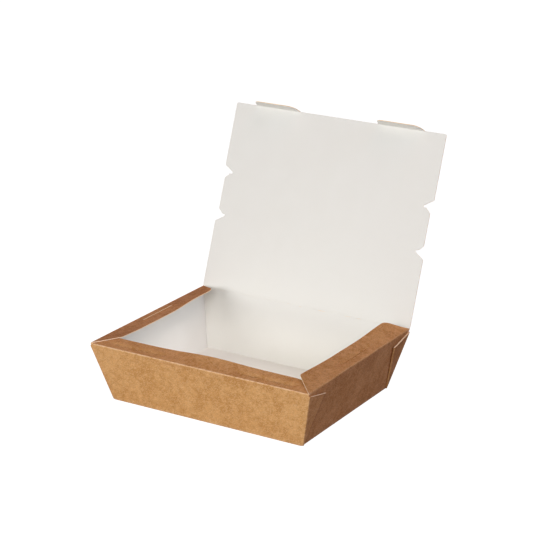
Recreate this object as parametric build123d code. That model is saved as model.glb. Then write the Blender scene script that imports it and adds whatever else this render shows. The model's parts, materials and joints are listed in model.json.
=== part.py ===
from build123d import *
import os
from math import atan, cos, hypot, radians, sin, sqrt, tan

# A takeaway box cut from one sheet of kraft paperboard, folded and glued.
# Millimetres, +Z up. The origin is under the middle of the floor. The front wall faces -Y,
# and the lid hinges on the crease along the top of the rear wall, at +Y.
# Every piece is the same board: brown outside, white inside.

# ---- Driving dimensions ------------------------------------------------------------------

# board and folds
board = 0.5                 # thickness of the paperboard
fold_radius = 0.6           # outer rounding of the tray's folds
rim_fold_radius = 0.4       # outer rounding of the folds between walls and rims
fold_gap = 0.3              # open line between a panel that folds and its neighbour

# tray: floor and four walls that lean outward
floor_width = 150.0
floor_depth = 120.0
height = 44.0
side_flare = 11.5           # how far the top of each side wall stands out past the floor
end_flare = 12.3            # the same for the front and rear walls

# rims: three strips turned inward at the top of the front and side walls
rim_width = 16.0
rim_corner_radius = 8.0     # rear inner corner of each side rim
rim_end_taper = 8.7         # how far the rear end of a side rim runs forward across its width
rim_mitre_radius = 2.0      # front inner corner of each side rim

# corner webs: the folded corner of the sheet, glued flat outside each side wall
web_fold_length = 39.5      # from the floor's corner up the web's own fold
web_corner_drop = 2.5       # from the tray's top corner down to the web's upper edge
web_layers = 2

# lid
lid_lean = 19.7             # degrees back from upright, as the box stands open
lid_setback = 5.8           # from the closed lid's free edge to the front fold
lid_corner_radius = 1.5

# locking tabs on the lid's free edge
tab_width = 37.0
tab_length = 9.2
tab_side_margin = 17.3      # from the lid's side edge to the nearer end of the tab
tab_taper = 2.0
tab_corner_radius = 4.5
tab_bend = 77.0             # degrees inward from the lid's own plane, as the box stands open
tab_bend_limit = 100.0

# ears on the lid's side edges, each between two V notches
ear_start = 53.3            # from the hinge to the apex of the first notch
ear_fold_length = 33.2
ear_depth = 4.9
ear_fold_inset = 6.2        # from the lid's side edge to the ear's fold
notch_half_width = 4.5

# slits in the rims that the ears and tabs tuck into
slit_side_clearance = 0.45
slit_end_clearance = 1.5

# ---- Worked out from the dimensions -------------------------------------------------------

top_half_width = floor_width / 2 + side_flare
top_half_depth = floor_depth / 2 + end_flare
side_slope = side_flare / height
end_slope = end_flare / height
side_inset = board * hypot(side_flare, height) / height
end_inset = board * hypot(end_flare, height) / height

rim_top = height
front_rim_top = height - board
hinge_y = top_half_depth - end_inset / 2
hinge_z = rim_top + fold_gap + board / 2
lid_length = hinge_y + top_half_depth - lid_setback
free_edge_y = hinge_y - lid_length
seam = fold_gap + board / 2
tab_inner_x = top_half_width - tab_side_margin - tab_width     # nearer end of a tab, from the lid's middle

lean = radians(lid_lean)
lid_plane = Plane(origin=(0, hinge_y, hinge_z), x_dir=(1, 0, 0), z_dir=(0, -cos(lean), sin(lean)))


# ---- Shared shapes ------------------------------------------------------------------------

def frustum(width_inset, depth_inset, low, high):
    """The tray's tapering block between two heights, brought in on each side."""
    sections = []
    for level in (low, high):
        half_width = floor_width / 2 + side_slope * level - width_inset
        half_depth = floor_depth / 2 + end_slope * level - depth_inset
        sections.append(Plane.XY.offset(level) * Rectangle(2 * half_width, 2 * half_depth))
    return loft(sections)


def block(low, high):
    """A plain block from its lowest and highest corners."""
    size = [high[i] - low[i] for i in range(3)]
    middle = [(high[i] + low[i]) / 2 for i in range(3)]
    return Pos(*middle) * Box(*size)


def sheet(plane, outline):
    """A flat piece of board, thickened equally to both sides of a plane."""
    return plane * extrude(outline, board / 2, both=True)


def fold_edge(plane, start, end):
    """The rounded edge of a piece that turns about a fold from start to end in its plane."""
    first = Vector(*start)
    last = Vector(*end)
    along = (last - first).normalized()
    local = Plane(origin=first, z_dir=along)
    length = (last - first).length
    return plane * (local * Cylinder(board / 2, length, align=(Align.CENTER, Align.CENTER, Align.MIN)))


def mirrored_pair(shape):
    """A shape on the right and the same on the left."""
    return (shape, mirror(shape, about=Plane.YZ))


# ---- Tray ---------------------------------------------------------------------------------

def tray_blocks():
    """The tray as solid blocks: up to the side rims, and with its front lowered by one board."""
    full = frustum(0, 0, 0, rim_top)
    low_edges = full.edges().group_by(Axis.Z)[0]
    corner_edges = full.edges().group_by(Axis.Z)[1]
    full = fillet(low_edges + corner_edges, fold_radius)
    side_folds = full.edges().group_by(Axis.Z)[-1].filter_by(Axis.Y)
    full = fillet(side_folds, rim_fold_radius)
    front_top = block(
        (-floor_width, -top_half_depth - board, front_rim_top),
        (floor_width, -top_half_depth + end_inset + board, rim_top + board),
    )
    stepped = full - front_top
    front_fold = stepped.edges().filter_by(Axis.X).filter_by_position(
        Axis.Z, front_rim_top - board / 4, front_rim_top + board / 4
    ).sort_by(Axis.Y)[0]
    return full, fillet(front_fold, rim_fold_radius)


def side_rim():
    """The right rim: mitred at the front, tapered and rounded at the rear, slit for the ear."""
    outer = top_half_width
    inner = top_half_width - rim_width
    front = -top_half_depth
    rear = top_half_depth - end_inset
    outline = Polyline(
        (outer, front),
        (outer, rear),
        (inner, rear - rim_end_taper),
        (inner, front + rim_width),
        close=True,
    )
    face = make_face(outline)
    inner_corners = face.vertices().group_by(Axis.X)[0].sort_by(Axis.Y)
    face = fillet(inner_corners[-1], rim_corner_radius)
    mitre_corner = face.vertices().sort_by(Axis.Y)[1]
    face = fillet(mitre_corner, rim_mitre_radius)
    rim = extrude(Plane.XY.offset(rim_top - board) * face, board)

    fold_x = top_half_width - ear_fold_inset
    half = board / 2 + slit_side_clearance
    slit = block(
        (fold_x - half, hinge_y - ear_start - ear_fold_length - slit_end_clearance, rim_top - 2 * board),
        (fold_x + half, hinge_y - ear_start + slit_end_clearance, rim_top + board),
    )
    return rim - slit


def front_rim():
    """The front rim, with its ends glued under the side rims and two slits for the tabs."""
    low = front_rim_top - board
    rim = block(
        (-top_half_width, -top_half_depth, low),
        (top_half_width, -top_half_depth + rim_width, front_rim_top),
    )
    # a tab swings in on the lid's arc, so its slit reaches from the fold to the tip's path
    bend = radians(tab_bend)
    tip_radius = hypot(lid_length + tab_length * cos(bend), tab_length * sin(bend))
    drop = hinge_z - low
    swing = sqrt(tip_radius ** 2 - drop ** 2) - lid_length
    over_bend = drop * tan(radians(tab_bend_limit - 90))
    half_board = board / 2 + slit_side_clearance
    slit = block(
        (tab_inner_x - slit_end_clearance, free_edge_y - swing - half_board, low - board),
        (tab_inner_x + tab_width + slit_end_clearance, free_edge_y + over_bend + half_board, rim_top),
    )
    for cut in mirrored_pair(slit):
        rim -= cut
    return rim


def between_end_walls():
    """A block between the outer faces of the front and rear walls, wider than the tray."""
    spread = 4 * web_layers * board
    sections = []
    for level in (0, rim_top):
        width = 2 * (floor_width / 2 + side_slope * level + spread)
        depth = 2 * (floor_depth / 2 + end_slope * level)
        sections.append(Plane.XY.offset(level) * Rectangle(width, depth))
    return loft(sections)


def corner_web():
    """The folded corner that lies on the right wall's outside at the rear."""
    slant = hypot(side_flare, height)
    edge_lean = atan(end_flare / slant)
    other_lean = atan(side_flare / hypot(end_flare, height))
    fold_lean = (radians(90) - edge_lean - other_lean) / 2 - edge_lean
    corner = (floor_depth / 2, 0)
    fold_top = (
        floor_depth / 2 - web_fold_length * sin(fold_lean),
        web_fold_length * cos(fold_lean),
    )
    top_height = slant - web_corner_drop * cos(edge_lean)
    corner_top = (floor_depth / 2 + top_height * tan(edge_lean), top_height)
    wall_plane = Plane(
        origin=(floor_width / 2, 0, 0),
        x_dir=(0, 1, 0),
        z_dir=(cos(atan(side_slope)), 0, -sin(atan(side_slope))),
    )
    # the prism starts inside the wall's board, so that the web and the wall are one solid
    outline = Polyline(corner, corner_top, fold_top, close=True)
    web = wall_plane.offset(-board / 2) * extrude(make_face(outline), board / 2 + web_layers * board)
    return web & between_end_walls()


def make_tray():
    """The whole tray: floor, walls, rims and corner webs, all of one folded sheet."""
    full_block, stepped_block = tray_blocks()
    # the hollow is lofted past the rims, so that it opens the top cleanly
    hollow = frustum(side_inset, end_inset, board, rim_top + board)
    tray = stepped_block - hollow
    tray += front_rim() & stepped_block
    for rim in mirrored_pair(side_rim()):
        tray += rim & full_block
    web = corner_web()
    for end in (web, mirror(web, about=Plane.XZ)):
        for side in mirrored_pair(end):
            tray += side
    return tray


# ---- Lid ----------------------------------------------------------------------------------

def make_lid_panel():
    """The lid: notched at both sides, its free edge cut back where the tabs fold."""
    half = top_half_width
    ear_line = half - ear_fold_inset - seam
    ear_end = ear_start + ear_fold_length
    face = Rectangle(2 * half, lid_length, align=(Align.CENTER, Align.MIN))
    far_corners = face.vertices().group_by(Axis.Y)[-1]
    face = fillet(far_corners, lid_corner_radius)
    notch = make_face(
        Polyline(
            (half + board, ear_start - notch_half_width),
            (half, ear_start - notch_half_width),
            (ear_line, ear_start),
            (ear_line, ear_end),
            (half, ear_end + notch_half_width),
            (half + board, ear_end + notch_half_width),
            close=True,
        )
    )
    tab_recess = Pos(tab_inner_x + tab_width / 2, lid_length) * Rectangle(tab_width + 2 * fold_gap, 2 * seam)
    for cut in (notch, tab_recess):
        for side in mirrored_pair(cut):
            face -= side
    return sheet(lid_plane, face) + fold_edge(lid_plane, (-half, 0, 0), (half, 0, 0))


def make_tab():
    """The right locking tab, bent in from the lid's free edge."""
    bend = radians(tab_bend)
    facing = lid_plane.z_dir * cos(bend) - lid_plane.y_dir * sin(bend)
    middle_x = tab_inner_x + tab_width / 2
    root = lid_plane.from_local_coords((middle_x, lid_length, 0))
    tab_plane = Plane(origin=root, x_dir=(1, 0, 0), z_dir=facing)
    half = tab_width / 2
    face = make_face(
        Polyline(
            (-half, 0),
            (half, 0),
            (half - tab_taper, tab_length),
            (-half + tab_taper, tab_length),
            close=True,
        )
    )
    face = fillet(face.vertices().group_by(Axis.Y)[-1], tab_corner_radius)
    return sheet(tab_plane, face) + fold_edge(tab_plane, (-half, 0, 0), (half, 0, 0))


def make_ear():
    """The right ear, in the lid's plane, between the two notches."""
    fold_x = top_half_width - ear_fold_inset
    start = ear_start + fold_gap
    end = ear_start + ear_fold_length - fold_gap
    face = make_face(
        Polyline(
            (fold_x, start),
            (fold_x + ear_depth, start + notch_half_width),
            (fold_x + ear_depth, end - notch_half_width),
            (fold_x, end),
            close=True,
        )
    )
    return sheet(lid_plane, face) + fold_edge(lid_plane, (fold_x, start, 0), (fold_x, end, 0))


# ---- Build and write ----------------------------------------------------------------------

pieces = {
    "tray": make_tray(),
    "lid_panel": make_lid_panel(),
}
pieces["right_locking_tab"], pieces["left_locking_tab"] = mirrored_pair(make_tab())
pieces["right_side_ear"], pieces["left_side_ear"] = mirrored_pair(make_ear())

os.makedirs("parts", exist_ok=True)
for name, piece in pieces.items():
    export_step(piece, f"parts/{name}.step")
    print(f"{name}: {len(piece.solids())} solid, {piece.volume:.1f} mm3")

tab_root = lid_plane.from_local_coords((0, lid_length, 0))
ear_fold = lid_plane.from_local_coords((top_half_width - ear_fold_inset, ear_start, 0))
print(f"lid hinge at y {hinge_y:.3f} z {hinge_z:.3f}, lid length {lid_length:.3f}")
print(f"tab folds at y {tab_root.Y:.3f} z {tab_root.Z:.3f}")
print(f"ear folds at x {ear_fold.X:.3f} y {ear_fold.Y:.3f} z {ear_fold.Z:.3f}, lean {lid_lean}")
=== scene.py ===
# %% [markdown]
# # A folded takeaway food box
#
# The real box is one die-cut sheet of kraft paperboard, brown and uncoated outside, white and coated
# inside. It is creased, folded and glued, so every visible part is the same half-millimetre board seen
# from one side or the other, with a pale cut edge between them. The scene follows that idea: each area of
# the sheet is drawn as its middle surface, then thickened once, with one finish per side and one for the
# cut edge.

# %% Load the fixed frame
import json
import math

import bmesh
import bpy
import numpy as np
from mathutils import Matrix, Vector


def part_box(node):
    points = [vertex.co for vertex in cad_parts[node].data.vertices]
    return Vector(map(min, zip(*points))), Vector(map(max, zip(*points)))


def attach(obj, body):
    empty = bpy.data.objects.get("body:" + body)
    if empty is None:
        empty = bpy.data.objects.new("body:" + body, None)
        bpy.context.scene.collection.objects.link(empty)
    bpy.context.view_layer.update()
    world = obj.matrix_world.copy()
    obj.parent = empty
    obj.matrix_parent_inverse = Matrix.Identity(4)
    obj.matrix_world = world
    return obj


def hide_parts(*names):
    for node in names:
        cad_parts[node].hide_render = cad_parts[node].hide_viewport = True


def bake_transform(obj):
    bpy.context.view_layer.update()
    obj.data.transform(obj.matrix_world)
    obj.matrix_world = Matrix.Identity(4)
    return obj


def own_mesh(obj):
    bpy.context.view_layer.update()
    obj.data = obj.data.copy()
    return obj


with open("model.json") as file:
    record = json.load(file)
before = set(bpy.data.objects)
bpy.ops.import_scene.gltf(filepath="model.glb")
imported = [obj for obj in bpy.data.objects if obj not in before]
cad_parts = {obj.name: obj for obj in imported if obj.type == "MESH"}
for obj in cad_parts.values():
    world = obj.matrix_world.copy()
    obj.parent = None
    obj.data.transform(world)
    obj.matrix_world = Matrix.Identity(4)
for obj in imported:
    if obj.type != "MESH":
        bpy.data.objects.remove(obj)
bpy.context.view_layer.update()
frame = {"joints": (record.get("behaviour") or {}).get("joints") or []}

# %% [markdown]
# ## Sizes and places
#
# Places come from the construction model: the boxes of its pieces and the axes of its folds. Only the
# sizes that those can't tell, such as the thickness of the board, are written here. All of them are in
# millimetres, and a mesh is scaled to metres when it is made, because small numbers are easier to read
# this way.

# %% Sizes and places
MM = 0.001
joints = {joint["name"]: joint for joint in frame["joints"]}
tray_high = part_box("tray")[1] / MM
lid_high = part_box("lid_panel")[1] / MM
tab_low, tab_high = [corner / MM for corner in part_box("right_locking_tab")]

board = 0.5
floor_half_width = 75.0
floor_half_depth = 60.0
end_flare = 12.3
rim_width = 16.0
height = tray_high.z
top_half_width = lid_high.x
top_half_depth = floor_half_depth + end_flare
side_slope = (top_half_width - floor_half_width) / height
end_slope = end_flare / height
side_half_board = board / 2 * math.hypot(1, side_slope)
end_half_board = board / 2 * math.hypot(1, end_slope)

hinge = Vector(joints["lid_hinge"]["pos_m"]) / MM
tab_fold = Vector(joints["right_tab_fold"]["pos_m"]) / MM
ear_fold = Vector(joints["right_ear_fold"]["pos_m"]) / MM
lid_vector = Vector((0, tab_fold.y - hinge.y, tab_fold.z - hinge.z))
lid_length = lid_vector.length
lid_up = lid_vector.normalized()
lid_in = Vector((0, -lid_up.z, lid_up.y))
print(f"lid length {lid_length:.2f} mm, top {2 * top_half_width:.1f} x {2 * top_half_depth:.1f} mm")

# %% [markdown]
# ## The camera
#
# The box is seen from a little above, turned so that the front and the right wall both show. A long lens
# keeps the perspective mild. The camera is placed from its two angles and its distance, and then slid
# right and up to frame the box, because that keeps the lens free of shift.

# %% Camera
azimuth = math.radians(30.261)
elevation = math.radians(18.668)
roll = math.radians(0.893)
camera_distance = 1321.6
slide_right = 16.52
slide_up = 83.62
lens_length = 123.06
sensor_width = 36

backward = Vector((
    math.sin(azimuth) * math.cos(elevation),
    -math.cos(azimuth) * math.cos(elevation),
    math.sin(elevation),
))
level_right = Vector((math.cos(azimuth), math.sin(azimuth), 0))
level_up = backward.cross(level_right)
right = math.cos(roll) * level_right + math.sin(roll) * level_up
up = -math.sin(roll) * level_right + math.cos(roll) * level_up
camera_data = bpy.data.cameras.new("product_camera")
camera_data.lens = lens_length
camera_data.sensor_width = sensor_width
camera = bpy.data.objects.new("product_camera", camera_data)
bpy.context.scene.collection.objects.link(camera)
camera.matrix_world = Matrix((right, up, backward)).transposed().to_4x4()
camera.location = (backward * camera_distance + right * slide_right + up * slide_up) * MM
bpy.context.scene.camera = camera
print("camera at", [round(value, 3) for value in camera.location])

# %% [markdown]
# ## Fibres in the board
#
# Kraft board is pressed from long wood fibres. Close up, it is cloudy over a few millimetres and crossed
# by short fibres, some lighter and some darker than the rest. One node group makes these patterns from
# noise, and both the brown and the white side use it with different strengths. The fibres are noise
# squeezed along a direction, and three directions make sure that some of them lie in every wall. Object
# coordinates are used because all pieces share one frame, so that the pattern runs on without a break from
# one piece of the sheet to the next.

# %% Helpers for shader nodes
def add_node(tree, kind, inputs=None, **settings):
    """A node with some of its inputs set or linked."""
    node = tree.nodes.new(kind)
    for key, value in settings.items():
        setattr(node, key, value)
    for key, value in (inputs or {}).items():
        if isinstance(value, bpy.types.NodeSocket):
            tree.links.new(value, node.inputs[key])
        else:
            node.inputs[key].default_value = value
    return node


def step_mask(tree, value, low, high):
    """0 below one value, 1 above another, and smooth between them."""
    node = add_node(tree, "ShaderNodeMapRange", {0: value, 1: low, 2: high}, interpolation_type="SMOOTHSTEP")
    return node.outputs[0]


def math_node(tree, operation, first, second):
    return add_node(tree, "ShaderNodeMath", {0: first, 1: second}, operation=operation).outputs[0]


def mix_colours(tree, factor, first, second):
    node = add_node(tree, "ShaderNodeMix", {0: factor, 6: first, 7: second}, data_type="RGBA")
    return node.outputs[2]


# %% Node group: board fibres
broad_share = 0.5
broad_scale = 0.25
cloud_contrast = (0.33, 0.67)
fibre_frequency = 1250.0
fibre_squeeze = (0.24, 1.0, 1.0)
fibre_cover = 0.7
fibre_edge = 0.07
fine_frequency = 1400.0
fibre_relief = 0.4
fibre_families = (
    ("Light Fibres", (0.3, 0.2, 0.5)),
    ("Light Fibres", (0.9, 0.7, -0.6)),
    ("Light Fibres", (-0.7, 1.2, 0.2)),
    ("Dark Fibres", (0.5, -0.9, 1.2)),
    ("Dark Fibres", (-0.3, 0.4, -1.0)),
    ("Dark Fibres", (1.2, 0.9, 0.1)),
)


def make_fibre_group():
    tree = bpy.data.node_groups.new("board_fibres", "ShaderNodeTree")
    face = tree.interface
    for name, default in (("Cloud Size", 150.0), ("Fibre Density", 0.5), ("Fibre Size", 1.0)):
        socket = face.new_socket(name, in_out="INPUT", socket_type="NodeSocketFloat")
        socket.default_value = default
    for name in ("Cloud", "Light Fibres", "Dark Fibres", "Height"):
        face.new_socket(name, in_out="OUTPUT", socket_type="NodeSocketFloat")
    entry = tree.nodes.new("NodeGroupInput")
    leave = tree.nodes.new("NodeGroupOutput")
    place = add_node(tree, "ShaderNodeTexCoord").outputs["Object"]

    cloud_size = entry.outputs["Cloud Size"]
    cloud = add_node(tree, "ShaderNodeTexNoise", {"Vector": place, "Scale": cloud_size, "Detail": 6})
    broad_size = math_node(tree, "MULTIPLY", cloud_size, broad_scale)
    broad = add_node(tree, "ShaderNodeTexNoise", {"Vector": place, "Scale": broad_size, "Detail": 2})
    cloud_part = math_node(tree, "MULTIPLY", cloud.outputs[0], 1 - broad_share)
    broad_part = math_node(tree, "MULTIPLY", broad.outputs[0], broad_share)
    both = math_node(tree, "ADD", cloud_part, broad_part)
    tree.links.new(step_mask(tree, both, *cloud_contrast), leave.inputs["Cloud"])

    covered = math_node(tree, "MULTIPLY", entry.outputs["Fibre Density"], fibre_cover)
    low_cut = math_node(tree, "SUBTRACT", 1.0, covered)
    high_cut = math_node(tree, "ADD", low_cut, fibre_edge)
    totals = {"Light Fibres": None, "Dark Fibres": None}
    fibre_scale = math_node(tree, "MULTIPLY", entry.outputs["Fibre Size"], fibre_frequency)
    for turn, (tone, angles) in enumerate(fibre_families):
        offset = (0.31 * turn, 0.17 * turn, 0.23 * turn)
        inputs = {"Vector": place, "Rotation": angles, "Location": offset}
        turned = add_node(tree, "ShaderNodeMapping", inputs)
        squeezed = add_node(tree, "ShaderNodeMapping", {"Vector": turned.outputs[0], "Scale": fibre_squeeze})
        inputs = {"Vector": squeezed.outputs[0], "Scale": fibre_scale, "Detail": 1}
        noise = add_node(tree, "ShaderNodeTexNoise", inputs)
        mask = step_mask(tree, noise.outputs[0], low_cut, high_cut)
        totals[tone] = mask if totals[tone] is None else math_node(tree, "MAXIMUM", totals[tone], mask)
    for tone, total in totals.items():
        tree.links.new(total, leave.inputs[tone])
    fine = add_node(tree, "ShaderNodeTexNoise", {"Vector": place, "Scale": fine_frequency, "Detail": 3})
    raised = math_node(tree, "MULTIPLY", totals["Light Fibres"], fibre_relief)
    relief = math_node(tree, "ADD", fine.outputs[0], raised)
    tree.links.new(relief, leave.inputs["Height"])
    return tree


def group_outputs(group):
    return [item.name for item in group.interface.items_tree if item.in_out == "OUTPUT"]


fibre_group = make_fibre_group()
print("board fibres give:", group_outputs(fibre_group))

# %% [markdown]
# ## Wear and painted light along the folds
#
# Where board is creased, its fibres are stretched and broken, so the fold is a little lighter and rougher.
# The lighter line on the brown side is also a painted highlight, where light catches the bend, and the
# white side is darkened along its folds as painted shade. Each mesh carries a value called `fold` that is
# 1 on a fold and fades to 0 beside it. This group breaks that value up with noise, so that the line isn't
# even.

# %% Node group: fold wear and painted light
fold_mark_frequency = 420.0
fold_mark_contrast = (0.3, 0.62)


def make_fold_group():
    tree = bpy.data.node_groups.new("fold_wear_and_light", "ShaderNodeTree")
    amount = tree.interface.new_socket("Amount", in_out="INPUT", socket_type="NodeSocketFloat")
    amount.default_value = 1.0
    tree.interface.new_socket("Mask", in_out="OUTPUT", socket_type="NodeSocketFloat")
    entry = tree.nodes.new("NodeGroupInput")
    leave = tree.nodes.new("NodeGroupOutput")
    fold = add_node(tree, "ShaderNodeAttribute", attribute_name="fold").outputs["Fac"]
    place = add_node(tree, "ShaderNodeTexCoord").outputs["Object"]
    noise = add_node(tree, "ShaderNodeTexNoise", {"Vector": place, "Scale": fold_mark_frequency, "Detail": 4})
    # This mask carries wear and painted light: a highlight on brown folds, shade on white ones.
    broken = math_node(tree, "MULTIPLY", fold, step_mask(tree, noise.outputs[0], *fold_mark_contrast))
    tree.links.new(math_node(tree, "MULTIPLY", broken, entry.outputs["Amount"]), leave.inputs["Mask"])
    return tree


fold_group = make_fold_group()
print("fold wear gives:", group_outputs(fold_group))

# %% [markdown]
# ## The three finishes
#
# Brown kraft is matt and mottled. The white side has a thin clay coating, so it is smooth, slightly warm
# and has a faint sheen. The cut edge shows the pulp between them, cream and rough. Each is one Principled
# shader: values that stay the same all over the surface are set on the shader itself, and only what
# changes is linked.

# %% Helpers for finishes
bump_strength = 0.6


def start_material(name, roughness, specular):
    material = bpy.data.materials.new(name)
    material.use_nodes = True
    shader = material.node_tree.nodes["Principled BSDF"]
    shader.inputs["Roughness"].default_value = roughness
    shader.inputs["Specular IOR Level"].default_value = specular
    return material, material.node_tree, shader


def place_group(tree, group, **inputs):
    node = tree.nodes.new("ShaderNodeGroup")
    node.node_tree = group
    for name, value in inputs.items():
        node.inputs[name.replace("_", " ")].default_value = value
    return node


def add_relief(tree, shader, relief, depth):
    """Slight bumps from a height; depth is in millimetres."""
    inputs = {"Height": relief, "Strength": bump_strength, "Distance": depth * MM}
    bump = add_node(tree, "ShaderNodeBump", inputs)
    tree.links.new(bump.outputs[0], shader.inputs["Normal"])


# %% [markdown]
# Where the board is seen at a slant, as on the rims and the right wall, its colour is painted darker and
# redder: this is painted shade, which stands for the dimmer and warmer light that falls there. Layer Weight
# gives 0 where a surface faces the viewer and 1 where it is seen edge-on, and a colour ramp turns that into
# the painted shade: none up to a third, slight at two thirds, and stronger past that, as on the rims seen
# from low down. Layer Weight stays in the material, outside the groups.

# %% Brown kraft
kraft_deep = (0.59, 0.291, 0.093, 1)
kraft_pale = (0.75, 0.412, 0.162, 1)
dark_fibre = (0.32, 0.135, 0.045, 1)
light_fibre = (0.92, 0.62, 0.34, 1)
# Lighter kraft along folds: stretched fibres, and a painted highlight where light catches the bend.
worn_and_highlit_kraft = (0.88, 0.60, 0.36, 1)
dark_fibre_strength = 0.24
light_fibre_strength = 0.34
# Painted shade: darker, redder kraft where the board is seen at a slant, as on the rims.
painted_slant_shade = (
    (0.35, (1.0, 1.0, 1.0, 1)),
    (0.66, (0.975, 0.855, 0.92, 1)),
    (0.75, (0.83, 0.69, 0.76, 1)),
)


def paint_slant_shade(tree, colour):
    """The colour with painted shade: darker and redder where the board is seen at a slant."""
    facing = add_node(tree, "ShaderNodeLayerWeight", {"Blend": 0.5}).outputs["Facing"]
    tint = add_node(tree, "ShaderNodeValToRGB", {"Fac": facing})
    stops = tint.color_ramp.elements
    stops[0].position, stops[0].color = painted_slant_shade[0]
    stops[1].position, stops[1].color = painted_slant_shade[2]
    stops.new(painted_slant_shade[1][0]).color = painted_slant_shade[1][1]
    inputs = {0: 1.0, 6: colour, 7: tint.outputs[0]}
    return add_node(tree, "ShaderNodeMix", inputs, data_type="RGBA", blend_type="MULTIPLY").outputs[2]


def make_kraft():
    material, tree, shader = start_material("brown_kraft", roughness=0.9, specular=0.1)
    fibres = place_group(tree, fibre_group, Cloud_Size=260.0, Fibre_Density=0.585, Fibre_Size=1.0)
    fold_mark = place_group(tree, fold_group, Amount=0.9)
    colour = mix_colours(tree, fibres.outputs["Cloud"], kraft_deep, kraft_pale)
    dark = math_node(tree, "MULTIPLY", fibres.outputs["Dark Fibres"], dark_fibre_strength)
    colour = mix_colours(tree, dark, colour, dark_fibre)
    light = math_node(tree, "MULTIPLY", fibres.outputs["Light Fibres"], light_fibre_strength)
    colour = mix_colours(tree, light, colour, light_fibre)
    # The folds are lightened: wear together with a painted highlight.
    colour = mix_colours(tree, fold_mark.outputs["Mask"], colour, worn_and_highlit_kraft)
    # The base colour carries painted shade where the board slants away from the viewer.
    tree.links.new(paint_slant_shade(tree, colour), shader.inputs["Base Color"])
    add_relief(tree, shader, fibres.outputs["Height"], depth=0.025)
    return material


brown_kraft = make_kraft()
print(f"{brown_kraft.name}: {len(brown_kraft.node_tree.nodes)} nodes")

# %% [markdown]
# The coating fills the board's surface, so its fibres show only as a faint change of tone and of gloss.
# Both follow the same cloudy mask, which keeps them together, as they are where a coating lies thicker or
# thinner.

# %% White coating
coating_thin = (0.832, 0.822, 0.778, 1)
coating_thick = (0.847, 0.839, 0.798, 1)
# Painted shade: the coating is darkened along its folds.
crease_shade_coating = (0.66, 0.62, 0.56, 1)
coating_roughness = (0.44, 0.56)


def make_white():
    material, tree, shader = start_material("white_coating", roughness=0.5, specular=0.35)
    fibres = place_group(tree, fibre_group, Cloud_Size=60.0, Fibre_Density=0.46, Fibre_Size=0.8)
    fold_mark = place_group(tree, fold_group, Amount=0.03)
    colour = mix_colours(tree, fibres.outputs["Cloud"], coating_thin, coating_thick)
    # Painted shade along the folds of the white side.
    colour = mix_colours(tree, fold_mark.outputs["Mask"], colour, crease_shade_coating)
    tree.links.new(colour, shader.inputs["Base Color"])
    low, high = coating_roughness
    rough = add_node(tree, "ShaderNodeMapRange", {0: fibres.outputs["Cloud"], 3: low, 4: high})
    tree.links.new(rough.outputs[0], shader.inputs["Roughness"])
    add_relief(tree, shader, fibres.outputs["Height"], depth=0.012)
    return material


white_coating = make_white()
print(f"{white_coating.name}: {len(white_coating.node_tree.nodes)} nodes")

# %% [markdown]
# A knife leaves the inside of the board open, so the cut edge is paler and rougher than either side. A
# line of colour along the edge of the other two finishes could stand for it. It is a finish of its own
# here, because the board has real thickness, and its edge is a real face that can carry one.

# %% Cut edge
pulp_deep = (0.95, 0.70, 0.46, 1)
pulp_pale = (1.0, 0.79, 0.55, 1)


def make_cut_edge():
    material, tree, shader = start_material("cream_cut_edge", roughness=0.9, specular=0.2)
    fibres = place_group(tree, fibre_group, Cloud_Size=500.0, Fibre_Density=0.6, Fibre_Size=1.4)
    colour = mix_colours(tree, fibres.outputs["Cloud"], pulp_deep, pulp_pale)
    tree.links.new(colour, shader.inputs["Base Color"])
    add_relief(tree, shader, fibres.outputs["Height"], depth=0.05)
    return material


finishes = [brown_kraft, white_coating, make_cut_edge()]
print("finishes:", [finish.name for finish in finishes])

# %% [markdown]
# ## From a middle surface to board
#
# A sheet is easiest to draw with no thickness, as a grid of points. The Solidify modifier then gives it
# both faces and its cut edge, and can hand each of them its own material. Points that fall together, as
# where a fold runs out to nothing, are merged first. The modifier is applied, so that each piece keeps
# its final mesh.

# %% Helpers for sheets
merge_distance = 0.004
sharp_angle = math.radians(38)


def grid_faces(rows, columns, closed=False, skip=None):
    """Faces between neighbouring points of a grid, without the cells that skip names."""
    faces = []
    for row in range(rows - 1):
        for column in range(columns if closed else columns - 1):
            if skip is not None and skip(row, column):
                continue
            after = (column + 1) % columns
            faces.append((
                row * columns + column,
                row * columns + after,
                (row + 1) * columns + after,
                (row + 1) * columns + column,
            ))
    return faces


def make_board(name, points, faces, outward, fold=None):
    """A piece of board from its middle surface; outward is the brown side's direction at the first face."""
    mesh = bpy.data.meshes.new(name)
    mesh.from_pydata([tuple(np.array(point) * MM) for point in points], [], faces)
    worn = mesh.attributes.new("fold", "FLOAT", "POINT")
    worn.data.foreach_set("value", np.array(fold if fold is not None else np.zeros(len(points)), np.float32))
    if mesh.polygons[0].normal.dot(Vector(outward)) < 0:
        mesh.flip_normals()
    work = bmesh.new()
    work.from_mesh(mesh)
    bmesh.ops.remove_doubles(work, verts=work.verts, dist=merge_distance * MM)
    bmesh.ops.dissolve_degenerate(work, edges=work.edges, dist=merge_distance * MM)
    loose = [vertex for vertex in work.verts if not vertex.link_faces]
    bmesh.ops.delete(work, geom=loose, context="VERTS")
    work.to_mesh(mesh)
    work.free()
    piece = bpy.data.objects.new(name, mesh)
    bpy.context.scene.collection.objects.link(piece)
    for finish in finishes:
        mesh.materials.append(finish)
    thick = piece.modifiers.new("board", "SOLIDIFY")
    thick.thickness = board * MM
    thick.offset = 0
    thick.use_quality_normals = True
    thick.material_offset = 1
    thick.material_offset_rim = 2
    graph = bpy.context.evaluated_depsgraph_get()
    solid = bpy.data.meshes.new_from_object(piece.evaluated_get(graph))
    piece.modifiers.clear()
    piece.data = solid
    solid.name = name
    solid.shade_smooth()
    solid.set_sharp_from_angle(angle=sharp_angle)
    print(f"{name}: {len(solid.polygons)} faces")
    return piece


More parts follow.
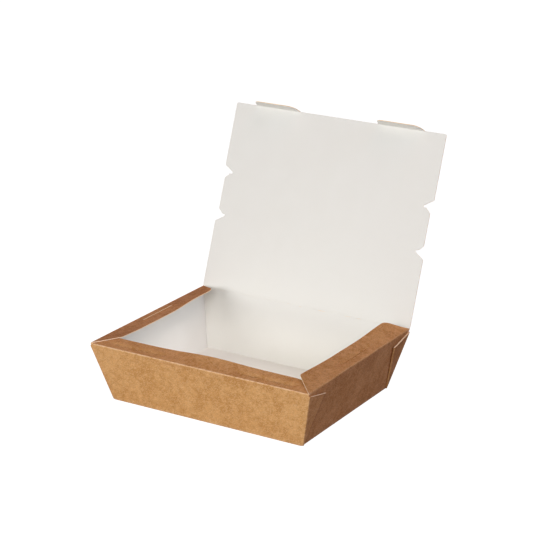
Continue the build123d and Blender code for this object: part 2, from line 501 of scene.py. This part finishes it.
def smooth(value, low, high):
    """0 below low, 1 above high, and smooth between them."""
    share = np.clip((value - low) / (high - low), 0, 1)
    return share * share * (3 - 2 * share)


# %% [markdown]
# ## The tray
#
# The floor and the four walls are one sheet. At each corner the sheet has more board than it needs, so it
# is folded double into a web and glued flat against the side wall. The outline of the tray at one height
# is drawn first: along an end wall, round the corner, out over the web, round the web's own fold, back
# beneath it, round once more and along the side wall. Outlines at many heights, joined in order, are the
# whole tray. Above the web's fold its two layers end in an open cut edge, so the cells of the fold are
# left out there.

# %% Tray: outline at one height
corner_radius = 0.5
web_top = 41.5
web_fold_top = 36.8
web_fold_slope = 0.2924
web_spring = {"front": 1.0, "rear": 0.95}
web_spring_curve = 1.6
tuck_depth = 1.5 * board
arc_steps = 5
wall_steps = 26
web_steps = 9
web_fold_start = wall_steps + arc_steps + web_steps - 1
box_margin = 0.03


def web_edge(level):
    """Where the web ends along the side wall: at its fold, or higher up at its cut edge."""
    fold_y = floor_half_depth - web_fold_slope * level
    top_y = floor_half_depth - web_fold_slope * web_fold_top
    cut_share = (level - web_fold_top) / (web_top - web_fold_top)
    cut_y = top_y + cut_share * (floor_half_depth + end_slope * web_top - top_y)
    return fold_y if level <= web_fold_top else cut_y


def arc(centre, radius, first, last, steps):
    """Points of an arc, its angles in degrees."""
    angles = np.radians(np.linspace(first, last, steps))
    return [(centre[0] + radius * math.cos(a), centre[1] + radius * math.sin(a)) for a in angles]


def quarter(row, end):
    """Points from the middle of an end wall to the middle of the right wall, at +Y."""
    side_z, side_inset = row["side"]
    end_z, end_inset = row[end]
    side_x = floor_half_width + side_slope * side_z - side_inset
    end_y = floor_half_depth + end_slope * end_z - end_inset - end_half_board
    layer = 2 * side_half_board
    webbed = row["web"]
    corner_x = side_x + (1.5 * layer if webbed else -side_half_board)
    centre = (corner_x - corner_radius, end_y - corner_radius)
    flat = [(x, end_y) for x in np.linspace(0, centre[0], wall_steps, endpoint=False)]
    bend = arc(centre, corner_radius, 90, 0, arc_steps)
    if webbed:
        edge = min(web_edge(side_z), centre[1])
        room = tray_high.x - box_margin - board / 2 - corner_x
        spring = min(web_spring[end] * side_z / web_fold_top, room)
        share = np.linspace(0, 1, web_steps)
        reach = centre[1] + (edge - centre[1]) * share
        lift = spring * share ** web_spring_curve
        outer = [(corner_x + k, y) for k, y in zip(lift, reach)]
        turn = arc((corner_x - layer / 2 + lift[-1], edge), layer / 2, 0, -180, arc_steps)
        inner = [(corner_x - layer + k, y) for k, y in zip(lift[::-1], reach[::-1])]
        tuck = arc((side_x, end_y - tuck_depth), side_half_board, 0, 180, arc_steps)
        layers = outer + turn + inner + tuck
        start_y = end_y - tuck_depth
    else:
        layers = [bend[-1]] * (2 * web_steps + 2 * arc_steps)
        start_y = centre[1]
    wall = [(side_x - side_half_board, y) for y in np.linspace(start_y, 0, wall_steps + 1)]
    path = flat + bend + layers + wall
    low_columns = len(flat)
    high_columns = low_columns + len(bend)
    heights = np.interp(np.arange(len(path)), [low_columns - 1, high_columns], [end_z, side_z])
    return [(x, y, z) for (x, y), z in zip(path, heights)]


# %% [markdown]
# Board is never quite flat: each wall is drawn in a little at its middle, and its top edge wavers. The
# same smooth function of place moves every layer, so the layers stay together.

# %% Tray: slight bowing of the walls
wall_bow = 0.45
top_waver = 0.12
waver_start = (20, 40)
end_waver_stop = (40, 43)
wall_band = (-3, -1)


def bow_walls(points):
    """Moves the points near each wall; the band is the distance from a wall within which they count."""
    points = np.array(points, float)
    x, y, z = points.T
    rise = np.sin(math.pi * np.clip(z / height, 0, 1))
    waver = top_waver * smooth(z, *waver_start) * (1 + np.sin(x * 0.11 + y * 0.13 + 0.8))
    side_reach = floor_half_depth + end_slope * z
    end_reach = floor_half_width + side_slope * z
    along_side = np.clip(1 - (y / side_reach) ** 2, 0, 1)
    along_end = np.clip(1 - (x / end_reach) ** 2, 0, 1)
    near_side = smooth(np.abs(x) - end_reach, *wall_band)
    near_end = smooth(np.abs(y) - side_reach, *wall_band)
    points[:, 0] -= np.sign(x) * near_side * along_side * (wall_bow * rise + waver)
    end_waver = waver * (1 - smooth(z, *end_waver_stop))
    points[:, 1] -= np.sign(y) * near_end * along_end * (wall_bow * rise + end_waver)
    return points


# %% Tray: rows from the middle of the floor up to the folds of the rims
floor_fold_radius = 0.4
rim_plane = {"side": height - board / 2, "front": height - 1.5 * board}
rear_top = height - 0.6
rim_fold = 0.4
floor_shares = (0.0, 0.2, 0.4, 0.6, 0.75, 0.88, 0.96)
fold_levels = np.linspace(0.8, web_fold_top, 20)
edge_levels = np.linspace(web_fold_top, web_top, 8)[1:]
rows = []


def add_row(side, front, rear, web=False, scale=1.0):
    rows.append({"side": side, "front": front, "rear": rear, "web": web, "scale": scale})


for scale in floor_shares:
    flat_row = (board / 2, floor_fold_radius)
    add_row(flat_row, flat_row, flat_row, scale=scale)
for turn in np.radians(np.linspace(0, 75, 4)):
    bent_row = (
        board / 2 + floor_fold_radius * (1 - math.cos(turn)),
        floor_fold_radius * (1 - math.sin(turn)),
    )
    add_row(bent_row, bent_row, bent_row)
for level in (*fold_levels, *edge_levels):
    add_row((level, 0), (level, 0), (level, 0), web=True)
for share in (0.1, 0.4, 0.7, 1.0):
    tops = [web_top + share * (top - web_top) for top in (
        rim_plane["side"] - rim_fold, rim_plane["front"] - rim_fold, rear_top
    )]
    add_row((tops[0], 0), (tops[1], 0), (tops[2], 0))
for turn in np.radians((25, 50, 75, 90)):
    inset = rim_fold * (1 - math.cos(turn))
    drop = rim_fold * (1 - math.sin(turn))
    add_row((rim_plane["side"] - drop, inset), (rim_plane["front"] - drop, inset), (rear_top, 0))
print(f"{len(rows)} rows from the floor to the rims")

# %% Tray: one sheet from all the rows
def tray_ring(row):
    """The whole outline of a row, mirrored from two quarters."""
    rear = quarter(row, "rear")
    front = [(x, -y, z) for x, y, z in quarter(row, "front")][::-1]
    right_half = rear[:-1] + front
    left_half = [(-x, y, z) for x, y, z in right_half[1:-1]][::-1]
    ring = np.array(right_half + left_half)
    ring[:, :2] *= row["scale"]
    return ring


rings = [tray_ring(row) for row in rows]
column_count = len(rings[0])
quarter_count = len(quarter(rows[0], "rear"))
turn_cells = range(web_fold_start + 1, web_fold_start + arc_steps)
open_cells = set()
for cell in turn_cells:
    mirrored = 2 * (quarter_count - 1) - cell - 1
    open_cells |= {cell, mirrored, (column_count - cell - 1), (column_count - mirrored - 1)}
first_open = next(i for i, row in enumerate(rows) if row["web"] and row["side"][0] >= web_fold_top - 0.01)


def web_is_open(row, column):
    return row >= first_open and rows[row]["web"] and column in open_cells


tray_points = bow_walls(np.concatenate(rings))
levels = tray_points[:, 2]
corner_distance = np.hypot(
    floor_half_width + side_slope * levels - np.abs(tray_points[:, 0]),
    floor_half_depth + end_slope * levels - np.abs(tray_points[:, 1]),
)
floor_band = 1.2
past_sides = np.abs(tray_points[:, 0]) - (floor_half_width - floor_band)
past_ends = np.abs(tray_points[:, 1]) - (floor_half_depth - floor_band)
at_wall = np.maximum(past_sides, past_ends)
# Fold marks on the tray: wear, shown with a painted highlight on the brown side and painted shade on the
# white.
floor_wear_and_light = 0.35
side_wear_and_light = 0.15
corner_wear_and_light = 0.15
floor_line = floor_wear_and_light * (1 - smooth(levels, 0.6, 1.8)) * smooth(at_wall, 0, 0.8)
# Full-strength line on the front wall's top fold: wear and a painted highlight.
front_line = smooth(levels, 42.75, 43.1) * (tray_points[:, 1] < 1.5 - top_half_depth)
side_line = side_wear_and_light * smooth(levels, 43.0, 43.5)
corner_line = corner_wear_and_light * (1 - smooth(corner_distance, 0.5, 1.6))
tray_fold = np.maximum.reduce([floor_line, front_line, side_line, corner_line])
tray_faces = grid_faces(len(rows), column_count, closed=True, skip=web_is_open)
tray_sheet = make_board("tray_sheet", tray_points, tray_faces, (0, 0, -1), tray_fold)
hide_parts("tray")
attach(tray_sheet, "tray")

# %% [markdown]
# ## The rims
#
# The rims are narrow strips that the maker folded in at the top of three walls. Board remembers being
# flat, so their inner edges spring up by a few millimetres: most at the ends of the side rims, and near
# the middle of the front rim. When the lid shuts it presses them down. The side rims lie on the ends of
# the front rim and are cut on a slant there. The right rim is side 1 and the left rim is side -1.

# %% Rims: how far the inner edges spring up
mitre_softness = 1.1
rear_taper = {1: 8.7, -1: 11.0}
rear_rounding = {1: 8.0, -1: 12.0}
spring = {1: (4.7, 3.3, 4.9), -1: (2.4, 1.5, 3.2)}
spring_reach = {1: ((15, 60), (20, 60)), -1: ((30, 60), (5, 40))}


def rise(across):
    """The share of the spring at a distance from the fold."""
    return np.clip((across - rim_fold) / (rim_width - rim_fold), 0, 1) ** 1.2


def side_spring(side, y):
    front, middle, rear = spring[side]
    to_front, to_rear = spring_reach[side]
    return middle + (front - middle) * smooth(-y, *to_front) + (rear - middle) * smooth(y, *to_rear)


def side_rim_height(side, x, y):
    return rim_plane["side"] + side_spring(side, y) * rise(top_half_width - np.abs(x))


for side, name in ((1, "right"), (-1, "left")):
    heights = [round(float(side_spring(side, y)), 1) for y in (-60, 0, 60)]
    print(f"{name} rim springs up by {heights} mm at its front, middle and rear")

# %% [markdown]
# The rims are slit for the lid's ears and tabs. A slit is a row of cells left out of the grid. The board
# on its inner side, its lip, is bent down or up a little, which closes the slit to a line when it is seen
# from in front. Where a cut stays tight, its cut edges are given the brown finish instead of the cream one:
# that is painted shade, for the dark of a narrow slit. The left rim's slit gapes, so its pale cut edge
# shows.

# %% Rims: slits
slit_near = 5.7
slit_far = 6.75
slit_ends = (-16.2, 20.4)
slit_lip = {1: 0.75, -1: -0.2}
slit_fade = 5.0
lip_reach = 4.0
slit_margin = 1.0


def lip_share(along, ends, fade, across, far):
    """1 on the inner lip of a slit, fading out past the slit's ends and away from it."""
    beside = smooth(along, ends[0] - fade, ends[0]) * (1 - smooth(along, ends[1], ends[1] + fade))
    return beside * (1 - smooth(across, far, far + lip_reach)) * (across > far - 0.01)


def shade_slit_edges(piece, x_ends, y_ends):
    """Paints the cut edges at a slit with the brown finish as shade; x_ends holds on both sides of the
    middle.
    """
    closed = 0
    for face in piece.data.polygons:
        place = face.center / MM
        in_x = x_ends[0] - slit_margin < abs(place.x) < x_ends[1] + slit_margin
        in_y = y_ends[0] - slit_margin < place.y < y_ends[1] + slit_margin
        # Painted shade: the slit's cut edge takes the brown finish.
        if face.material_index == 2 and in_x and in_y:
            face.material_index = 0
            closed += 1
    print(f"{piece.name}: {closed} faces of its slits are brown")


# %% Side rims: outline
def rear_end(side, across):
    """The slanted and rounded rear end of a side rim."""
    rear = top_half_depth - 2 * end_half_board
    taper = rear_taper[side]
    rounding = rear_rounding[side]
    slant = math.atan(taper / rim_width)
    centre = rim_width - rounding
    centre_y = rear - taper * centre / rim_width - rounding / math.cos(slant)
    if across < centre + rounding * math.sin(slant):
        return rear - taper * across / rim_width
    return centre_y + math.sqrt(max(rounding ** 2 - (across - centre) ** 2, 0))


def front_end(across):
    """The mitred front end of a side rim, softened at its inner corner."""
    soft = max(across - (rim_width - mitre_softness), 0)
    return -top_half_depth + across + 0.5 * soft ** 2


# %% Side rims: mesh
def make_side_rim(side, name):
    first = rim_fold + side_half_board
    plain = first + (rim_width - first) * np.cos(np.linspace(math.pi / 2, 0, 16))
    across = np.unique(np.round(np.concatenate([plain, [slit_near, slit_far]]), 3))
    steps = (16, 14, 18)
    points = []
    for share in range(sum(steps) + 1):
        for u in across:
            keys = [front_end(u), slit_ends[0], slit_ends[1], rear_end(side, u)]
            y = np.interp(share, [0, steps[0], steps[0] + steps[1], sum(steps)], keys)
            lip = slit_lip[side] * lip_share(y, slit_ends, slit_fade, u, slit_far)
            z = side_rim_height(side, top_half_width - u, y) - lip
            points.append((side * (top_half_width - u), y, z))
    slit_column = int(np.argmin(np.abs(across - slit_near)))

    def in_slit(row, column):
        return column == slit_column and steps[0] <= row < steps[0] + steps[1]

    # The rim's fold is lighter: wear and a painted highlight.
    fold = [side_wear_and_light * (1 - smooth(top_half_width - abs(point[0]), 0.8, 1.8)) for point in points]
    faces = grid_faces(sum(steps) + 1, len(across), skip=in_slit)
    rim = make_board(name, points, faces, (0, 0, 1), fold)
    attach(rim, "tray")
    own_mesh(rim)
    return rim


right_rim = make_side_rim(1, "right_rim")
shade_slit_edges(right_rim, (top_half_width - slit_far, top_half_width - slit_near), slit_ends)
make_side_rim(-1, "left_rim")

# %% [markdown]
# The front rim is glued under the side rims at both ends, one board lower, and has two slits that take the
# lid's locking tabs. Where a side rim lies over it, it can't stand higher than that rim, so the lower of
# the two heights is used there.

# %% Front rim: height
front_slit = (5.2, 6.6)
front_lip = 0.5
front_fade = 4.0
front_spring_base = 1.4
front_spring_right = 0.8
front_spring_middle = 1.9
front_crown = (3, 27)
mitre_gap = 0.35
glue_gap = 0.05
cover_margin = 1.0
tab_end_clearance = 1.5
front_slit_ends = (tab_low.x - tab_end_clearance, tab_high.x + tab_end_clearance)


def front_spring(x):
    """Most near the middle, and a little more towards the right end than towards the left."""
    centre, reach = front_crown
    crown = math.exp(-((x - centre) / reach) ** 2)
    return front_spring_base + front_spring_right * smooth(x, -5, 55) + front_spring_middle * crown


def front_rim_height(x, v):
    own = rim_plane["front"] + front_spring(x) * rise(v)
    over = min(side_rim_height(side, x, -top_half_depth + v) for side in (1, -1))
    covered = top_half_width - abs(x) < v + cover_margin
    under = over - board - glue_gap - mitre_gap * rise(v)
    lip = front_lip * lip_share(abs(x), front_slit_ends, front_fade, v, front_slit[1])
    return (min(own, under) if covered else own) - lip


# %% Front rim: mesh
outer_rows = 6
inner_rows = 10
corner_clearance = 0.1


def make_front_rim():
    end = top_half_width - side_half_board - rim_fold - corner_clearance
    half = [0, *np.linspace(0, front_slit_ends[0], 9)[1:], *np.linspace(*front_slit_ends, 13)[1:]]
    half += list(np.linspace(front_slit_ends[1], end, 10)[1:])
    across = np.array([-x for x in half[:0:-1]] + half)
    outer = np.linspace(rim_fold + end_half_board, front_slit[0], outer_rows)
    inner = np.linspace(front_slit[1], rim_width, inner_rows)
    depth = np.concatenate([outer, inner])
    points = [(x, -top_half_depth + v, front_rim_height(x, v)) for v in depth for x in across]

    def in_slit(row, column):
        middle = (abs(across[column]) + abs(across[column + 1])) / 2
        return row == outer_rows - 1 and front_slit_ends[0] < middle < front_slit_ends[1]

    fold = [1 - smooth(point[1] + top_half_depth, 0.65, 1.1) for point in points]
    rim = make_board("front_rim", points, grid_faces(len(depth), len(across), skip=in_slit), (0, 0, 1), fold)
    shade_slit_edges(rim, front_slit_ends, [v - top_half_depth for v in front_slit])
    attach(rim, "tray")
    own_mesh(rim)


make_front_rim()

# %% [markdown]
# ## The lid
#
# The lid carries on from the rear wall. Its two sides are notched to free an ear on each, and two tabs are
# bent in from its free edge. It is drawn in its own plane, by distance up from the hinge, and set in place
# with two directions. It bows a little, as a large panel of board does once it is folded back.

# %% Lid: its plane and its outline
crease = 0.9
ear_start = 53.3
ear_end = 86.5
notch_half_width = 4.5
lid_corner = 1.5
lid_bow = 0.7
bow_half_width = 68
ear_line = ear_fold.x - crease
tab_range = (tab_low.x, tab_high.x)
dent_places = (tab_range[0] + 3, -tab_range[1] + 3)
dent_depth = 0.3
dent_width = 7.0
dent_reach = 7.0


def on_lid(x, along, inward=0.0):
    """A point of the lid from its distances across, up from the hinge and inward."""
    place = hinge + lid_up * along + lid_in * inward
    return (x, place.y, place.z)


def lid_half_width(along):
    """Half the lid's width: less in the notches, along the ears and at its rounded corners."""
    keys = [0, ear_start - notch_half_width, ear_start, ear_end, ear_end + notch_half_width, lid_length]
    widths = [top_half_width, top_half_width, ear_line, ear_line, top_half_width, top_half_width]
    width = float(np.interp(along, keys, widths))
    near = max(along - (lid_length - lid_corner), 0)
    return width - (lid_corner - math.sqrt(max(lid_corner ** 2 - near ** 2, 0)))


def lid_shape(x, along):
    """How far the lid stands inward: bowed at its middle, and dented beside the inner end of each tab."""
    middle = np.clip(1 - (x / bow_half_width) ** 2, 0, 1) ** 2
    bow = lid_bow * math.sin(math.pi * along / lid_length) * middle
    pulled = (lid_length - along - dent_reach) / dent_reach
    dents = sum(math.exp(-((x - place) / dent_width) ** 2 - pulled ** 2) for place in dent_places)
    return bow - dent_depth * dents * smooth(lid_length - along, 1, 5)


# %% Lid: mesh
def make_lid():
    inner = np.concatenate([
        np.linspace(0, tab_range[0], 10),
        np.linspace(*tab_range, 12)[1:],
        np.linspace(tab_range[1], ear_line - 1.0, 5)[1:],
    ])
    edge_steps = 5
    along_keys = [crease, ear_start - notch_half_width, ear_start, ear_end, ear_end + notch_half_width]
    along_keys += [lid_length - lid_corner, lid_length - crease, lid_length]
    counts = (18, 5, 12, 5, 24, 3, 3)
    levels_up = [crease]
    for (low, high), count in zip(zip(along_keys, along_keys[1:]), counts):
        levels_up += list(np.linspace(low, high, count + 1)[1:])
    points = []
    for along in levels_up:
        edge = lid_half_width(along)
        outer = np.linspace(inner[-1], edge, edge_steps + 1)[1:]
        half = np.concatenate([inner, outer])
        for x in np.concatenate([-half[:0:-1], half]):
            points.append(on_lid(x, along, lid_shape(x, along)))
    half_steps = len(inner) + edge_steps
    columns = 2 * half_steps - 1
    full = np.concatenate([-np.append(inner, [0] * edge_steps)[:0:-1], np.append(inner, [0] * edge_steps)])

    def in_tab(row, column):
        middle = (abs(full[column]) + abs(full[column + 1])) / 2
        on_tab = tab_range[0] < middle < tab_range[1]
        on_inner = abs(column + 0.5 - (half_steps - 1)) < len(inner) - 1
        return levels_up[row] > lid_length - crease - 0.01 and on_tab and on_inner

    faces = grid_faces(len(levels_up), columns, skip=in_tab)
    lid = make_board("lid_sheet", points, faces, tuple(-lid_in))
    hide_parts("lid_panel")
    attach(lid, "lid")


make_lid()

# %% [markdown]
# ## Creases
#
# A fold is a narrow strip of its own between the panels beside it, curved as the crease of a real board
# is. Each strip is drawn as a curve from one panel to the other, pulled towards the fold's axis.

# %% Creases: a strip between two panels
def curve_points(start, pull, end, steps):
    """A quadratic curve between two points, pulled towards a third."""
    shares = np.linspace(0, 1, steps)
    return [(1 - t) ** 2 * start + 2 * t * (1 - t) * pull + t ** 2 * end for t in shares]


def make_crease(name, start, pull, end, ends, along, outward, steps=7, cuts=12):
    """A strip that follows the curve and runs along a direction between two distances."""
    section = curve_points(Vector(start), Vector(pull), Vector(end), steps)
    points = []
    for distance in np.linspace(*ends, cuts + 1):
        points += [tuple(point + Vector(along) * distance) for point in section]
    fold = [1.0] * len(points)
    strip = make_board(name, points, grid_faces(cuts + 1, steps), outward, fold)
    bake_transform(strip)


wall_top = Vector((0, floor_half_depth + end_slope * rear_top - end_half_board, rear_top))
lid_foot = Vector(on_lid(0, crease))
half_hinge = top_half_width - 0.25
hinge_ends = (-half_hinge, half_hinge)
make_crease("lid_crease", wall_top, hinge, lid_foot, hinge_ends, (1, 0, 0), (0, 1, 0), cuts=40)

# %% [markdown]
# ## Tabs and ears
#
# The locking tabs are bent in so far that they show their white side. They taper towards rounded ends,
# which helps them find their slits. Beyond its crease a tab is flat board, so a flat grid is enough, in
# the plane that the bend gives. Its rows lie closer together near the end, to keep the corners round.

# %% Locking tabs
tab_bend = math.radians(joints["right_tab_fold"]["range_deg"][0] * -1)
tab_length = 9.19
tab_taper = 2.0
tab_corner = 4.5
tab_out = lid_up * math.cos(tab_bend) + lid_in * math.sin(tab_bend)
tab_white = lid_in * math.cos(tab_bend) - lid_up * math.sin(tab_bend)
tab_middle = (tab_low.x + tab_high.x) / 2
tab_half = (tab_high.x - tab_low.x) / 2
tab_columns = 25


def tab_half_width(out):
    near = max(out - (tab_length - tab_corner), 0)
    rounding = tab_corner - math.sqrt(max(tab_corner ** 2 - near ** 2, 0))
    return tab_half - tab_taper * out / tab_length - rounding


def make_tab(side, name, body, node):
    root = tab_fold + Vector((side * tab_middle, 0, 0))
    rounded = tab_length - tab_corner * (1 - np.sin(np.linspace(0, math.pi / 2, 8)[1:]))
    reaches = np.concatenate([np.linspace(crease, tab_length - tab_corner, 6), rounded])
    points = []
    for out in reaches:
        for share in np.linspace(-1, 1, tab_columns):
            points.append(tuple(root + tab_out * out + Vector((share * tab_half_width(out), 0, 0))))
    tab = make_board(name, points, grid_faces(len(reaches), tab_columns), tuple(-tab_white))
    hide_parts(node)
    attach(tab, body)
    start = root - lid_up * crease
    end = root + tab_out * crease
    ends = (-tab_half, tab_half)
    make_crease(f"{name}_crease", start, root, end, ends, (1, 0, 0), tuple(lid_up))


make_tab(1, "right_tab", "right_tab", "right_locking_tab")
make_tab(-1, "left_tab", "left_tab", "left_locking_tab")

# %% [markdown]
# An ear is what is left of the lid's side between two notches, and it still lies in the lid's plane. It
# could be cut out of the lid's own grid, but it turns on a fold of its own, so it is a flat grid beside
# the lid with a crease between them. A small gap at each end keeps it clear of the notches.

# %% Ears
ear_depth = 4.9
ear_gap = 0.3
ear_columns = 19


def make_ear(side, name, body, node):
    points = []
    outs = np.linspace(crease, ear_depth, 6)
    for out in outs:
        slant = notch_half_width * out / ear_depth
        for along in np.linspace(ear_start + ear_gap + slant, ear_end - ear_gap - slant, ear_columns):
            points.append(on_lid(side * (ear_fold.x + out), along))
    ear = make_board(name, points, grid_faces(len(outs), ear_columns), tuple(-lid_in))
    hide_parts(node)
    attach(ear, body)
    start = Vector(on_lid(side * ear_line, 0))
    middle = Vector(on_lid(side * ear_fold.x, 0))
    end = Vector(on_lid(side * (ear_fold.x + crease), 0))
    slant = notch_half_width * crease / ear_depth
    ends = (ear_start + ear_gap + slant, ear_end - ear_gap - slant)
    make_crease(f"{name}_crease", start, middle, end, ends, tuple(lid_up), tuple(-lid_in))


make_ear(1, "right_ear", "right_ear", "right_side_ear")
make_ear(-1, "left_ear", "left_ear", "left_side_ear")

# %% [markdown]
# ## Floor and light
#
# The box stands on a plain pale floor before a white backdrop. Both are bright where they are seen, but
# light the box only dimly, as a floor and a backdrop do that are lit apart from it. The floor does this
# with emission that Light Path switches on for what the camera sees directly.

# %% Floor
floor_radius = 6.0
floor_tone = (0.40, 0.40, 0.40, 1)
floor_glow = 0.95


def make_floor():
    mesh = bpy.data.meshes.new("studio_floor")
    work = bmesh.new()
    bmesh.ops.create_circle(work, cap_ends=True, segments=96, radius=floor_radius)
    work.to_mesh(mesh)
    work.free()
    floor = bpy.data.objects.new("studio_floor", mesh)
    bpy.context.scene.collection.objects.link(floor)
    material, tree, shader = start_material("pale_floor", roughness=0.9, specular=0.0)
    shader.inputs["Base Color"].default_value = floor_tone
    shader.inputs["Emission Color"].default_value = (1, 1, 1, 1)
    seen = add_node(tree, "ShaderNodeLightPath").outputs["Is Camera Ray"]
    tree.links.new(math_node(tree, "MULTIPLY", seen, floor_glow), shader.inputs["Emission Strength"])
    mesh.materials.append(material)


make_floor()

# %% [markdown]
# Most of the light comes from two large soft lamps in front, one high and one low, so that the front wall
# and the lid are bright and the right wall falls into shade. A cool lamp on the right and a warm one above
# fill the shadows, and one behind shows the back of the lid. Large lamps are used because they give soft
# edges to the shadows.

# %% Lamps
warm = (1.0, 0.64, 0.52)
cool = (0.71, 0.76, 1.0)
neutral = (1.0, 1.0, 1.0)
aim_point = Vector((0, 0, 0.06))
lamps = (
    ("key_high", (0.8, -2.4, 1.3), 29.7, 1.5, neutral),
    ("key_low", (-0.8, -2.4, 0.4), 34.5, 1.2, neutral),
    ("fill_right", (2.6, 0.2, 1.3), 17.9, 1.6, cool),
    ("fill_above", (0.8, 0.1, 2.5), 10.7, 1.6, warm),
    ("fill_back", (-0.9, 2.7, 0.35), 20.0, 1.4, neutral),
)


def make_light(name, place, power, size, colour):
    """A round soft lamp, in watts and metres, that looks at the box."""
    light = bpy.data.lights.new(name, "AREA")
    light.energy = power
    light.color = colour
    light.shape = "DISK"
    light.size = size
    lamp = bpy.data.objects.new(name, light)
    bpy.context.scene.collection.objects.link(lamp)
    lamp.location = place
    lamp.rotation_euler = (aim_point - Vector(place)).to_track_quat("-Z", "Y").to_euler()


for lamp_values in lamps:
    make_light(*lamp_values)
print("lamps:", [lamp_values[0] for lamp_values in lamps])

# %% [markdown]
# The rims keep most of the light from the tray's floor. In a studio a small white card, held over the box,
# throws some back in. A very weak lamp in the mouth of the tray does the same. It faces straight down, so
# that it adds nothing to the rims or the lid, and it can't be seen itself.

# %% Lamp in the tray
card_size = (0.12, 0.08)
card_height = 0.036
card_power = 0.024
card_colour = (1.0, 0.97, 0.90)

card_light = bpy.data.lights.new("card_in_tray", "AREA")
card_light.shape = "RECTANGLE"
card_light.size, card_light.size_y = card_size
card_light.energy = card_power
card_light.color = card_colour
card = bpy.data.objects.new("card_in_tray", card_light)
bpy.context.scene.collection.objects.link(card)
card.location = (0, 0, card_height)
card.visible_camera = False
print("lamp in the tray:", card_power, "W")

# %% [markdown]
# The backdrop is the world itself, with two strengths that Light Path chooses between: bright where it is
# seen, and dim for the light that it throws. A white wall behind the box could do the same, but it would
# have to be large, and from other sides it would stand in the way.

# %% Backdrop
backdrop_fill = 0.035
backdrop_glow = 1.0

world = bpy.data.worlds.new("white_studio")
world.use_nodes = True
sky = world.node_tree
fill = sky.nodes["Background"]
fill.inputs["Strength"].default_value = backdrop_fill
fill.inputs["Color"].default_value = (1, 1, 1, 1)
backdrop = add_node(sky, "ShaderNodeBackground", {"Color": (1, 1, 1, 1), "Strength": backdrop_glow})
seen = add_node(sky, "ShaderNodeLightPath").outputs["Is Camera Ray"]
both = add_node(sky, "ShaderNodeMixShader", {0: seen, 1: fill.outputs[0], 2: backdrop.outputs[0]})
sky.links.new(both.outputs[0], sky.nodes["World Output"].inputs["Surface"])
bpy.context.scene.world = world
bpy.context.scene.view_settings.view_transform = "Standard"
print("backdrop:", backdrop_glow, "where seen, fill", backdrop_fill)
